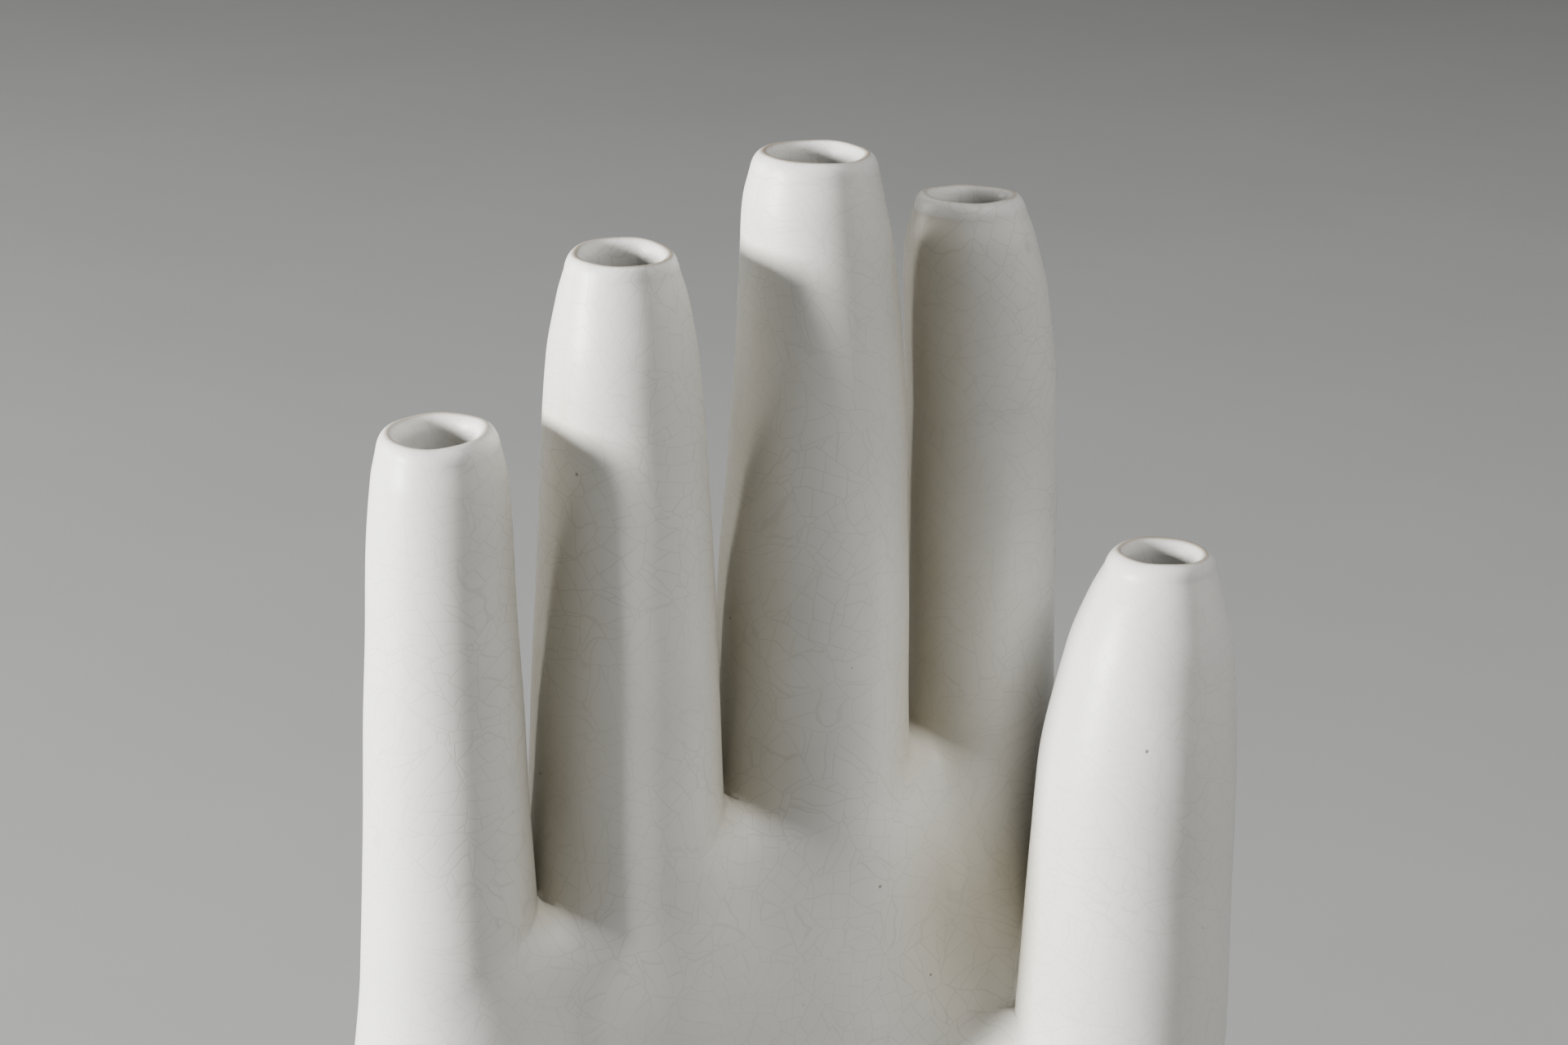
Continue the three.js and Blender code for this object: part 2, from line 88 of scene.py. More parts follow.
INDEX = {
    "node": "index_finger",
    "top": 240,
    "y": 0,
    "axis_x": [33.5, 33.7, 34.8, 36.3, 36.5, 36.7],
    "radii": [9.2, 10.6, 11.7, 12.5, 12.6, 13],
    "mouth": 7.1,
    "tilt": (-0.04, -0.02),
    "root_depth": 110,
    "joint": 150,
}
THUMB = {
    "node": "thumb",
    "top": 186,
    "y": -30,
    "axis_x": [51.9, 51.3, 50.4, 48.7, 47.5, 46],
    "radii": [9.1, 10.9, 13.6, 16.2, 17.3, 18.6],
    "mouth": 6.9,
    "tilt": (-0.025, 0),
    "root_depth": 82,
    "joint": 106,
}
FINGERS = [LITTLE, RING, MIDDLE, INDEX]
DIGITS = [*FINGERS, THUMB]

# The palm and wrist at heights above the table: half width, half depth, centre x, centre y, and how far
# the section is an oval, from 0 for a flat slab with round sides to 1.
PALM_HEIGHTS = [0, 34, 70, 104, 152]
PALM_SECTIONS = [
    [51, 46, 51, 60, 58],
    [35, 31, 24, 17, 13],
    [-7, -8, -10, -12, -12],
    [-9, -8, -3, 1, 1],
    [1, 1, 0.6, 0, 0],
]
# The palm's top edge lies a drop below the webs and is rounded over, and blends into the fingers.
PALM_TOP_DROP = 9
PALM_TOP_ROUND = 28
PALM_BLEND = 8
FINGER_HEEL = {"z": 30, "draw": 0.5, "y": -4, "radius": 10}
THUMB_HEEL = {"z": 30, "x": 8, "y": -10, "radius": 18}
THUMB_SWELL = {"x": 40, "z": 104, "width": 11, "height": 26, "most": 5, "front": 6}
OFF_CENTRE = 1e-6
FOOT_HEIGHT = 5
BASE_THICKNESS = 7
PALM_BOTTOM = FOOT_HEIGHT + BASE_THICKNESS


def curve_through(stations, values, at):
    """A cubic through the values that never overshoots them, and a straight line beyond both ends."""
    stations, values, at = (np.asarray(v, float) for v in (stations, values, at))
    run = np.diff(stations)
    slope = np.diff(values) / run
    product = slope[:-1] * slope[1:]
    total = np.where(product > 0, slope[:-1] + slope[1:], 1)
    tangent = np.concatenate([slope[:1], np.where(product > 0, 2 * product / total, 0), slope[-1:]])
    i = np.clip(np.searchsorted(stations, at, side="right") - 1, 0, len(run) - 1)
    t = (at - stations[i]) / run[i]
    curve = (1 + 2 * t) * (1 - t) ** 2 * values[i] + t**2 * (3 - 2 * t) * values[i + 1]
    curve = curve + (t * (1 - t) ** 2 * tangent[i] + t**2 * (t - 1) * tangent[i + 1]) * run[i]
    before = values[0] + (at - stations[0]) * slope[0]
    beyond = values[-1] + (at - stations[-1]) * slope[-1]
    return np.where(at < stations[0], before, np.where(at > stations[-1], beyond, curve))


def mix(a, b, share):
    return a + (b - a) * share


def smooth_step(t):
    t = np.clip(t, 0, 1)
    return t * t * (3 - 2 * t)


def blended_min(a, b, blend):
    """The lesser distance, less a quarter of the blend where both are the same, and nothing further off."""
    h = np.maximum(blend - np.abs(a - b), 0) / blend
    return np.minimum(a, b) - h * h * blend / 4


def palm_section(z):
    return [curve_through(PALM_HEIGHTS, values, z) for values in PALM_SECTIONS]


def axis_at(digit, z):
    """Centre and radius of a digit's column: its own down to the root, then an eased line to its heel."""
    z = np.asarray(z, float)
    depth = np.minimum(digit["top"] - z, digit["root_depth"])
    x = curve_through(DEPTHS, digit["axis_x"], depth)
    radius = curve_through(DEPTHS, digit["radii"], depth)
    root = digit["top"] - digit["root_depth"]
    heel = THUMB_HEEL if digit is THUMB else FINGER_HEEL
    heel_x = heel["x"] if digit is THUMB else mix(palm_section(heel["z"])[2], x, heel["draw"])
    ease = smooth_step((root - z) / (root - heel["z"]))
    return mix(x, heel_x, ease), mix(digit["y"], heel["y"], ease), mix(radius, heel["radius"], ease)


# A web closes the gap between two digits at its height. Below that its blend grows, in millimetres for
# each one further down at first, and then more slowly towards its most.
WEBS = [
    {"between": (LITTLE, RING), "z": 135, "growth": 5, "most": 23},
    {"between": (RING, MIDDLE), "z": 146, "growth": 4, "most": 23},
    {"between": (MIDDLE, INDEX), "z": 150, "growth": 3, "most": 23},
    {"between": (INDEX, THUMB), "z": 105, "growth": 3, "most": 30},
]
for web in WEBS:
    (ax, ay, ar), (bx, by, br) = [axis_at(digit, web["z"]) for digit in web["between"]]
    apart = float(np.hypot(bx - ax, by - ay))
    web["gap"] = apart - ar - br
    share = (ar + web["gap"] / 2) / apart
    web["x"], web["y"] = mix(ax, bx, share), mix(ay, by, share)

FINGER_WEBS = WEBS[:3]
LEAST_BLEND = 0.6
SADDLE_RISE = 1
WRIST_BLEND = 0.6
WRIST_TOP = 60
WRIST_FADE = 40


def web_blend(web, z):
    """The blend that closes the gap just above the web's height. On the way down it grows more and more
    slowly, towards its most, and in the wrist it is a share of that."""
    down = web["z"] + SADDLE_RISE - z
    grown = web["most"] * (1 - np.exp(-web["growth"] * np.maximum(down, 0) / web["most"]))
    share = mix(WRIST_BLEND, 1, smooth_step((z - WRIST_TOP) / WRIST_FADE))
    return np.maximum(2 * web["gap"] + (grown * share + np.minimum(down, 0) * web["growth"]), LEAST_BLEND)


FETTLED = 0.18
SWELL = 0.09
SWELL_LENGTHS = (6.1, 9.7, 7.3, 13.1)
SWELL_SHIFT = 1.3
RIPPLE = 0.04
RIPPLE_LENGTHS = (4.3, 3.7, 5.2, 4.1)
WEB_CALM_SQUARED = 60
GROOVE_DEPTH = 0.3
GROOVE_WIDTH = 0.7


def crossed_sines(a, b, c, d, lengths, shift=0):
    """A sine along one pair of directions times a sine along another, each direction by its own length."""
    return np.sin(a / lengths[0] + b / lengths[1]) * np.sin(c / lengths[2] - d / lengths[3] + shift)


def groove_bell(z):
    """1 at the seam between the palm and the base slab, and soon 0 above and below it."""
    return np.exp(-(((z - PALM_BOTTOM) / GROOVE_WIDTH) ** 2))


def hand_wobble(x, y, z):
    """Sines along x, y and z make slow swells of a tenth or two of a millimetre, always into the clay, as
    fettling leaves them, and none at the webs. The faint groove over the base slab is added."""
    swell = crossed_sines(x, z, y, z, SWELL_LENGTHS, SWELL_SHIFT)
    ripple = crossed_sines(z, x, x, y, RIPPLE_LENGTHS)
    calm = 1
    for web in WEBS:
        squared = (x - web["x"]) ** 2 + (y - web["y"]) ** 2 + (z - web["z"]) ** 2
        calm = calm * (1 - np.exp(-(squared / WEB_CALM_SQUARED)))
    return (FETTLED + SWELL * swell + RIPPLE * ripple) * calm + GROOVE_DEPTH * groove_bell(z)


def thumb_swell(x, y, z):
    """How far the palm swells towards the back of the thumb: a bell along x and z, on the front only."""
    off_x, off_z = x - THUMB_SWELL["x"], z - THUMB_SWELL["z"]
    bell = np.exp(-((off_x / THUMB_SWELL["width"]) ** 2) - (off_z / THUMB_SWELL["height"]) ** 2)
    return THUMB_SWELL["most"] * bell * smooth_step(-y / THUMB_SWELL["front"])


def form_at(z, digits=DIGITS):
    """Works out the columns and the palm at some heights, and returns the distance to the skin there as a
    function of x and y: the fingers are joined by their webs' blends, then to the palm, then the thumb."""
    z = np.asarray(z, float)
    columns = [axis_at(digit, z) for digit in digits]
    blends = [web_blend(web, z) for web in WEBS]
    half_width, half_depth, palm_x, palm_y, oval = palm_section(z)
    oval = np.clip(oval, 0, 1)
    fingers = len(digits) - (THUMB in digits)
    first = DIGITS.index(digits[0])
    stations = [web["x"] for web in FINGER_WEBS]
    tops = [web["z"] - PALM_TOP_DROP for web in FINGER_WEBS]

    def distance(x, y):
        own = [np.hypot(x - cx, y - cy) - radius for cx, cy, radius in columns]
        skin = own[0]
        for i in range(1, fingers):
            skin = blended_min(skin, own[i], blends[first + i - 1])
        dx, dy = x - palm_x + OFF_CENTRE, y - palm_y
        flat = np.hypot(np.maximum(np.abs(dx) - (half_width - half_depth), 0), dy) - half_depth
        reach = np.hypot(dx, dy)
        round_side = reach - reach / np.hypot(dx / half_width, dy / half_depth)
        top = curve_through(stations, tops, np.clip(x, stations[0], stations[-1]))
        palm = -blended_min(-mix(flat, round_side, oval), top - z, PALM_TOP_ROUND)
        skin = blended_min(palm, skin, PALM_BLEND) - thumb_swell(x, y, z)
        if THUMB in digits:
            skin = blended_min(skin, own[-1], blends[-1])
        return skin + hand_wobble(x, y, z)

    return distance


# The palm
# One hollow piece with the webs, the ball of the thumb and the wrist, pressed in a mould and fettled.
# It ends in a flat ring under each digit, where that is luted on, and in a flat edge round the bottom.
RESERVOIR_TOP = 98
WALL = 4.2
LIP_WIDTH = 1.5
LIP_DEPTH = 2.6
THROAT_DEPTH = 15
PALM_SIDES = 460
RESERVOIR_SIDES = 120
BORE_SIDES = 64
WALK = 0.5
MOST_WALKED = 2000
HOME_REACH = 0.8
HOME_AFTER = 8
NUDGE = 0.02
LEAST_SLOPE = 0.05

slab_low, slab_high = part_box("base_slab")
slab_middle = (slab_low + slab_high) / 2 / MM
foot_section = palm_section(PALM_BOTTOM)
hand_place = np.array([slab_middle.x - foot_section[2], slab_middle.y - foot_section[3], 0])


def way_out(distance, x, y):
    """How the distance changes along x and y."""
    gx = (distance(x + NUDGE, y) - distance(x - NUDGE, y)) / (2 * NUDGE)
    gy = (distance(x, y + NUDGE) - distance(x, y - NUDGE)) / (2 * NUDGE)
    return gx, gy


def settled(distance, inset, x, y):
    """Moves points along the way out, in two steps, to where they lie the inset below the skin."""
    gx, gy = way_out(distance, x, y)
    for _ in range(2):
        step = (distance(x, y) + inset) / np.maximum(gx**2 + gy**2, LEAST_SLOPE)
        step = np.clip(step, -WALK, WALK)
        x, y = x - gx * step, y - gy * step
    return x, y


def outlines(z, digits, count, start, inset=0.0):
    """Goes round the skin at each height in small steps, at right angles to the way out, from a point left
    of the start back to that, and spreads count points evenly over the way gone, all heights together."""
    distance = form_at(z, digits)
    x, y = (np.broadcast_to(v, z.shape).astype(float) for v in start)
    inside = distance(x, y) + inset < 0
    while inside.any():
        x = np.where(inside, x - WALK, x)
        inside = distance(x, y) + inset < 0
    x, y = settled(distance, inset, x, y)
    walk = [(x, y)]
    last = np.zeros(z.shape, int)
    while (last == 0).any() and len(walk) < MOST_WALKED:
        gx, gy = way_out(distance, x, y)
        size = np.hypot(gx, gy)
        x, y = settled(distance, inset, x - gy / size * WALK, y + gx / size * WALK)
        home = np.hypot(x - walk[0][0], y - walk[0][1]) < HOME_REACH * WALK
        last = np.where((last == 0) & home & (len(walk) > HOME_AFTER), len(walk), last)
        walk.append((x, y))
    walk = np.array(walk)
    rings = np.empty((len(z), count, 3))
    for i, height in enumerate(z):
        path = np.vstack([walk[: last[i], :, i], walk[:1, :, i]])
        gone = np.concatenate([[0], np.cumsum(np.hypot(*np.diff(path, axis=0).T))])
        even = np.linspace(0, gone[-1], count, endpoint=False)
        rings[i, :, 0] = np.interp(even, gone, path[:, 0])
        rings[i, :, 1] = np.interp(even, gone, path[:, 1])
        rings[i, :, 2] = height
    return rings


def gap_middle(digit, web, z):
    """A digit's centre, the way from there to its neighbour, and how far off the middle of their gap is."""
    other = web["between"][0] if web["between"][1] is digit else web["between"][1]
    (ax, ay, ar), (bx, by, br) = axis_at(digit, z), axis_at(other, z)
    apart = np.hypot(bx - ax, by - ay)
    return ax, ay, (bx - ax) / apart, (by - ay) / apart, ar + (apart - ar - br) / 2


def keep_to_own_side(rings, group):
    """Brings points past the middle of a gap, towards a finger outside the group, back onto that middle."""
    x, y, z = np.moveaxis(rings, -1, 0)
    for web in FINGER_WEBS:
        inside = [digit for digit in web["between"] if digit in group]
        if len(inside) == 1:
            ax, ay, ux, uy, middle = gap_middle(inside[0], web, z)
            past = np.maximum((x - ax) * ux + (y - ay) * uy - middle, 0)
            x, y = x - past * ux, y - past * uy
    return np.stack([x, y, z], -1)


def ring_mesh(name, rings, closed_on_itself=False):
    """Four-sided faces between neighbouring rings, and a face over each end or a strip from last to first."""
    levels, sides = rings.shape[:2]
    grid = np.arange(levels * sides).reshape(levels, sides)
    low = grid if closed_on_itself else grid[:-1]
    high = np.roll(grid, -1, 0) if closed_on_itself else grid[1:]
    quads = np.stack([low, np.roll(low, -1, 1), np.roll(high, -1, 1), high], -1).reshape(-1, 4)
    ends = [] if closed_on_itself else [grid[0, ::-1].tolist(), grid[-1].tolist()]
    mesh = bpy.data.meshes.new(name)
    mesh.from_pydata(((rings.reshape(-1, 3) + hand_place) * MM).tolist(), [], quads.tolist() + ends)
    return mesh


def placed(name, mesh):
    piece = bpy.data.objects.new(name, mesh)
    bpy.context.scene.collection.objects.link(piece)
    return piece


def cut_or_joined(body, tool, operation):
    """Joins a closed body with another, or cuts the other out of it, and returns the body."""
    change = body.modifiers.new(operation, "BOOLEAN")
    change.object, change.operation, change.solver = tool, operation, "MANIFOLD"
    made = bpy.data.meshes.new_from_object(body.evaluated_get(bpy.context.evaluated_depsgraph_get()))
    body.modifiers.clear()
    body.data = made
    bpy.data.objects.remove(tool)
    return body


def heights(low, high, spacing, bunching=1.5):
    """Heights that close up towards the high end, where the saddles are."""
    steps = max(3, int((high - low) / spacing))
    return high - (high - low) * np.linspace(1, 0, steps + 1) ** bunching


def bore_radius(digit, depth):
    """A throat under the lip that widens to the digit's radius less its wall."""
    throat = digit["mouth"] - LIP_WIDTH
    full = np.maximum(axis_at(digit, digit["top"] - depth)[2] - WALL, throat)
    return mix(throat, full, smooth_step((depth - LIP_DEPTH) / (THROAT_DEPTH - LIP_DEPTH)))


def circles(cx, cy, radius, z, sides):
    """A level circle of points round each centre."""
    a = np.linspace(0, 2 * np.pi, sides, endpoint=False)
    x, y = cx[:, None] + radius[:, None] * np.cos(a), cy[:, None] + radius[:, None] * np.sin(a)
    return np.stack([x, y, np.broadcast_to(z[:, None], x.shape)], -1)


def way_out_all_round(points):
    """The unit way out of the clay at each point, from how the distance changes along x, y and z."""
    x, y, z = points.T
    gx, gy = way_out(form_at(z), x, y)
    gz = (form_at(z + NUDGE)(x, y) - form_at(z - NUDGE)(x, y)) / (2 * NUDGE)
    out = np.stack([gx, gy, gz], 1)
    return out / np.linalg.norm(out, axis=1, keepdims=True)


def write_attribute(mesh, name, values):
    mesh.attributes.new(name, "FLOAT", "POINT").data.foreach_set("value", np.asarray(values, np.float32))


def corner_points(mesh):
    """The number of the point at each corner of every face."""
    corner = np.empty(len(mesh.loops), int)
    mesh.loops.foreach_get("vertex_index", corner)
    return corner


# Above each joint the palm carries fewer digits. A stretch has its lower and upper end, the digits that it
# carries, how many points go round it, and how far apart its levels are.
STRETCHES = [
    (PALM_BOTTOM, THUMB["joint"], DIGITS, PALM_SIDES, 1.0),
    (THUMB["joint"], LITTLE["joint"], FINGERS, 420, 0.8),
    (LITTLE["joint"], RING["joint"], FINGERS[1:], 330, 0.6),
    (RING["joint"], MIDDLE["joint"], FINGERS[2:], 220, 0.4),
]
palm = None
for low, high, group, sides, spacing in STRETCHES:
    z = heights(low, high, spacing)
    rings = keep_to_own_side(outlines(z, group, sides, axis_at(group[0], z)[:2]), group)
    part = placed("stretch", ring_mesh("stretch", rings))
    palm = cut_or_joined(palm, part, "UNION") if palm else part

PAST_FACE = 1
BORE_OVERLAP = 12
RESERVOIR_LEVELS = 30
BORE_LEVELS = 12
z = np.linspace(PALM_BOTTOM - PAST_FACE, RESERVOIR_TOP, RESERVOIR_LEVELS)
hollow = outlines(z, DIGITS, RESERVOIR_SIDES, palm_section(z)[2:4], WALL)
palm = cut_or_joined(palm, placed("reservoir", ring_mesh("reservoir", hollow)), "DIFFERENCE")
for digit in DIGITS:
    z = np.linspace(RESERVOIR_TOP - BORE_OVERLAP, digit["joint"] + PAST_FACE, BORE_LEVELS)
    cx, cy, _ = axis_at(digit, z)
    bore = circles(cx, cy, bore_radius(digit, digit["top"] - z), z, BORE_SIDES)
    palm = cut_or_joined(palm, placed("bore", ring_mesh("bore", bore)), "DIFFERENCE")
palm.name = "palm"

# The nook sets where the glaze is painted warmer and darker between the digits and beside the thumb: partly
# pooled glaze, partly painted shade.
NOOK_SHARE = 0.7
NOOK_REACH = 14
NOOK_BELOW = 9
NOOK_FADE = 11
THUMB_NOOK = {"x": 27, "y": -15, "z": 122, "reach": 14, "height": 20}


def nook(x, y, z):
    """How deep a point lies between digits, 0 in the open: a bell of how far off the two nearest fingers
    are, that fades out a little below the web there. The hollow beside the thumb adds a bell of its own."""
    columns = [axis_at(digit, z) for digit in FINGERS]
    own = np.stack([np.hypot(x - cx, y - cy) - radius for cx, cy, radius in columns])
    nearest, second = np.clip(np.sort(own, axis=0)[:2], 0, None)
    web_x, web_z = zip(*((web["x"], web["z"]) for web in FINGER_WEBS))
    fade = smooth_step((z - np.interp(x, web_x, web_z) + NOOK_BELOW) / NOOK_FADE)
    between = np.exp(-(((nearest + second) / NOOK_REACH) ** 2)) * fade
    off_x, off_y, off_z = x - THUMB_NOOK["x"], y - THUMB_NOOK["y"], z - THUMB_NOOK["z"]
    level = (off_x / THUMB_NOOK["reach"]) ** 2 + (off_y / THUMB_NOOK["reach"]) ** 2
    beside = np.exp(-level - (off_z / THUMB_NOOK["height"]) ** 2)
    return np.clip(NOOK_SHARE * between + beside, 0, 1)


SKIN_DEPTH = 1
LOOKS_OUT = 0.6


def smoothed_skin(mesh):
    """Gives every corner on the skin the way out of the whole hand, so that light runs on over the joints,
    and every other corner the way its own face looks. Also writes how far each point lies in a nook."""
    points = np.empty(len(mesh.vertices) * 3)
    mesh.vertices.foreach_get("co", points)
    points = points.reshape(-1, 3) / MM - hand_place
    distance = form_at(points[:, 2])(points[:, 0], points[:, 1])
    write_attribute(mesh, "nook", nook(*points.T))
    out = way_out_all_round(points)
    corner = corner_points(mesh)
    sides = np.empty(len(mesh.polygons), int)
    mesh.polygons.foreach_get("loop_total", sides)
    looks = np.empty(len(mesh.polygons) * 3)
    mesh.polygons.foreach_get("normal", looks)
    looks = np.repeat(looks.reshape(-1, 3), sides, 0)
    on_skin = (distance[corner] > -SKIN_DEPTH) & ((looks * out[corner]).sum(1) > LOOKS_OUT)
    mesh.shade_smooth()
    mesh.normals_split_custom_set(np.where(on_skin[:, None], out[corner], looks).tolist())


smoothed_skin(palm.data)
write_attribute(palm.data, "lip", np.zeros(len(palm.data.vertices)))


# The glaze
# A white satin glaze over the whole vase but its foot. It is crazed all over with hair-fine cracks, in long
# lines and in small cells between them, and breaks tan on the thin lips. Between the digits it is painted
# warmer and darker, partly as pooled glaze and partly as painted shade.
GLAZE_WHITE = (0.78, 0.77, 0.735, 1)
GLAZE_GREY = (0.70, 0.695, 0.67, 1)
GLAZE_TAN = (0.40, 0.29, 0.17, 1)
# The pool colour is partly pooled glaze and partly painted shade.
GLAZE_POOL_AND_SHADE = (0.56, 0.515, 0.40, 1)
CRACK_BROWN = (0.28, 0.25, 0.20, 1)
PIN_DARK = (0.20, 0.17, 0.13, 1)
FLECK_YELLOW = (0.62, 0.48, 0.20, 1)
MID_COLOUR = (0.5, 0.5, 0.5)
LINE_CORE = 0.3
RUNG_RATE = 0.75


class Finish:
    """A socket in a material. Sums on it add Math nodes, and node() adds any other kind of node."""

    def __init__(self, material, socket=None):
        self.material, self.socket = material, socket

    def node(self, kind, settings, inputs, output=0):
        """Adds a node, makes its settings, and gives each of its sockets a value or a link."""
        tree = self.material.node_tree
        made = tree.nodes.new("ShaderNode" + kind)
        for name, value in settings.items():
            setattr(made, name, value)
        for name, value in inputs.items():
            if isinstance(value, Finish):
                tree.links.new(value.socket, made.inputs[name])
            else:
                made.inputs[name].default_value = value
        return Finish(self.material, made.outputs[output]) if made.outputs else None

    def math(self, operation, a, b):
        return self.node("Math", {"operation": operation}, {0: a, 1: b})

    def __add__(self, other):
        return self.math("ADD", self, other)

    __radd__ = __add__

    def __sub__(self, other):
        return self.math("SUBTRACT", self, other)

    def __rsub__(self, other):
        return self.math("SUBTRACT", other, self)

    def __mul__(self, other):
        return self.math("MULTIPLY", self, other)

    __rmul__ = __mul__

    def rise(self, low, high):
        """0 below the low value, 1 above the high one, and a smooth step between them."""
        inputs = {"Value": self, "From Min": low, "From Max": high}
        return self.node("MapRange", {"interpolation_type": "SMOOTHSTEP"}, inputs)

    def tint(self, under, over, share):
        """One colour laid over another by a share from 0 to 1."""
        return self.node("Mix", {"data_type": "RGBA"}, {0: share, 6: under, 7: over}, 2)

    def noise(self, place, scale, detail=2.0, output=0):
        settings = {"noise_dimensions": "3D"}
        return self.node("TexNoise", settings, {"Vector": place, "Scale": scale, "Detail": detail}, output)

    def cells(self, place, scale, feature="F1", output=0):
        return self.node("TexVoronoi", {"feature": feature}, {"Vector": place, "Scale": scale}, output)

    def dots(self, place, scale, dot, channel, picked):
        """A round dot in the middle of some cells, picked by a channel of the cell's random colour."""
        chance = self.node("SeparateColor", {}, {"Color": self.cells(place, scale, output=1)}, channel)
        return (1 - self.cells(place, scale).rise(*dot)) * chance.rise(*picked)

    def vector(self, operation, a, b=(0, 0, 0), output=0):
        return self.node("VectorMath", {"operation": operation}, {0: a, 1: b}, output)

    def wandering(self, place, scale, reach):
        """The place moved by up to half the reach along each axis by coloured noise."""
        off = self.vector("SUBTRACT", self.noise(place, scale, output=1), MID_COLOUR)
        return self.vector("ADD", place, self.vector("MULTIPLY", off, (reach, reach, reach)))

    def hairlines(self, place, cell, spacing, width):
        """Crackle. Long cracks part the glaze into cells of a size in metres. In each cell run straight
        cracks a spacing apart, in a direction of its own. Shorter ones, a third further apart, cross the
        strips between them and are shifted at random from strip to strip. A crack is where the count of
        spacings is within the width of a whole number."""
        colour = self.cells(place, 1 / cell, output=1)
        along = self.vector("NORMALIZE", self.vector("SUBTRACT", colour, MID_COLOUR))
        other = self.node("TexWhiteNoise", {"noise_dimensions": "3D"}, {"Vector": colour}, 1)
        tilt = self.vector("SUBTRACT", other, MID_COLOUR)
        across = self.vector("NORMALIZE", self.vector("CROSS_PRODUCT", along, tilt))
        strip = self.vector("DOT_PRODUCT", place, along, 1) * (1 / spacing)
        number = self.math("FLOOR", strip, 0.0)
        offset = self.node("TexWhiteNoise", {"noise_dimensions": "1D"}, {"W": number})
        rung = self.vector("DOT_PRODUCT", place, across, 1) * (RUNG_RATE / spacing) + offset
        counts = [self.math("PINGPONG", count, 0.5) for count in (strip, rung)]
        lines = [count.rise(width * LINE_CORE, width) for count in counts]
        reach = width * spacing / cell
        rim = self.cells(place, 1 / cell, "DISTANCE_TO_EDGE").rise(reach * LINE_CORE, reach)
        return 1 - rim * lines[0] * lines[1]


def new_finish(name):
    material = bpy.data.materials.new(name)
    material.use_nodes = True
    material.node_tree.nodes.clear()
    return Finish(material)


def finished(finish, shader):
    """Links the shader to the material's surface and returns the material."""
    finish.node("OutputMaterial", {}, {"Surface": shader})
    return finish.material


glaze = new_finish("white_crackle_glaze")
place = glaze.node("TexCoord", {}, {}, "Object")
lip = glaze.node("Attribute", {"attribute_name": "lip"}, {}, "Fac")
pool_and_shade = glaze.node("Attribute", {"attribute_name": "nook"}, {}, "Fac")

# The crackle. Its cells and spacing are in metres, and its width is a share of the spacing. The cracks
# wander, and between patches they are faint.
CRACK_CELL = 0.008
CRACK_SPACING = 0.0027
CRACK_WIDTH = 0.04
WANDER = {"scale": 110.0, "reach": 0.0035}
PATCH_SCALE = 24.0
PATCH_EDGE = (0.35, 0.65)
FAINT = 0.4
bent = glaze.wandering(place, **WANDER)
patches = glaze.noise(place, PATCH_SCALE, 3.0).rise(*PATCH_EDGE)
cracks = glaze.hairlines(bent, CRACK_CELL, CRACK_SPACING, CRACK_WIDTH) * (FAINT + (1 - FAINT) * patches)

# Pinholes and iron flecks: a scale, the dot's core and rim as shares of a cell, and which cells have one.
PINS = {"scale": 210.0, "dot": (0.035, 0.08), "channel": "Red", "picked": (0.88, 0.90)}
FLECKS = {"scale": 55.0, "dot": (0.015, 0.045), "channel": "Green", "picked": (0.95, 0.96)}
pins = glaze.dots(place, **PINS)
flecks = glaze.dots(place, **FLECKS)

# Slow mottling, streaks drawn out downwards that break up the tint of pooled glaze and painted shade, and
# orange peel, coarse and fine.
MOTTLE_SCALE = 55.0
STREAK_SCALE = 130.0
STREAK_STRETCH = (1.0, 1.0, 0.3)
COARSE_PEEL = 130.0
FINE_PEEL = 420.0
FINE_SHARE = 0.6
mottle = glaze.noise(place, MOTTLE_SCALE, 4.0)
streaks = glaze.noise(glaze.vector("MULTIPLY", place, STREAK_STRETCH), STREAK_SCALE, 4.0)
peel = glaze.noise(place, FINE_PEEL) * FINE_SHARE + glaze.noise(place, COARSE_PEEL)

# Each layer lies over the ones before it by a share of its mask. The mottling breaks up the thin glaze.
GREY_EDGE = (0.45, 0.75)
GREY_SHARE = 0.4
POOL_SHADE_LEAST = 0.35
POOL_SHADE_STREAKS = 0.8
THIN_EDGE = (0.62, 1.15)
THIN_MOTTLE = 0.9
TAN_SHARE = 0.55
CRACK_SHARE = 0.13
FLECK_SHARE = 0.6
PIN_SHARE = 0.55
thin = (lip + (mottle - 0.5) * THIN_MOTTLE).rise(*THIN_EDGE)
colour = glaze.tint(GLAZE_WHITE, GLAZE_GREY, mottle.rise(*GREY_EDGE) * GREY_SHARE)
# Painted shade and pooled glaze: between the digits and in the hollow beside the thumb the glaze is darkened
# and warmed, partly as pooled glaze and partly as painted shade, and down the bores it darkens with depth.
colour = glaze.tint(colour, GLAZE_POOL_AND_SHADE, pool_and_shade * (POOL_SHADE_LEAST + POOL_SHADE_STREAKS * streaks))
colour = glaze.tint(colour, GLAZE_TAN, thin * TAN_SHARE)
colour = glaze.tint(colour, CRACK_BROWN, cracks * CRACK_SHARE)
colour = glaze.tint(colour, FLECK_YELLOW, flecks * FLECK_SHARE)
colour = glaze.tint(colour, PIN_DARK, pins * PIN_SHARE)

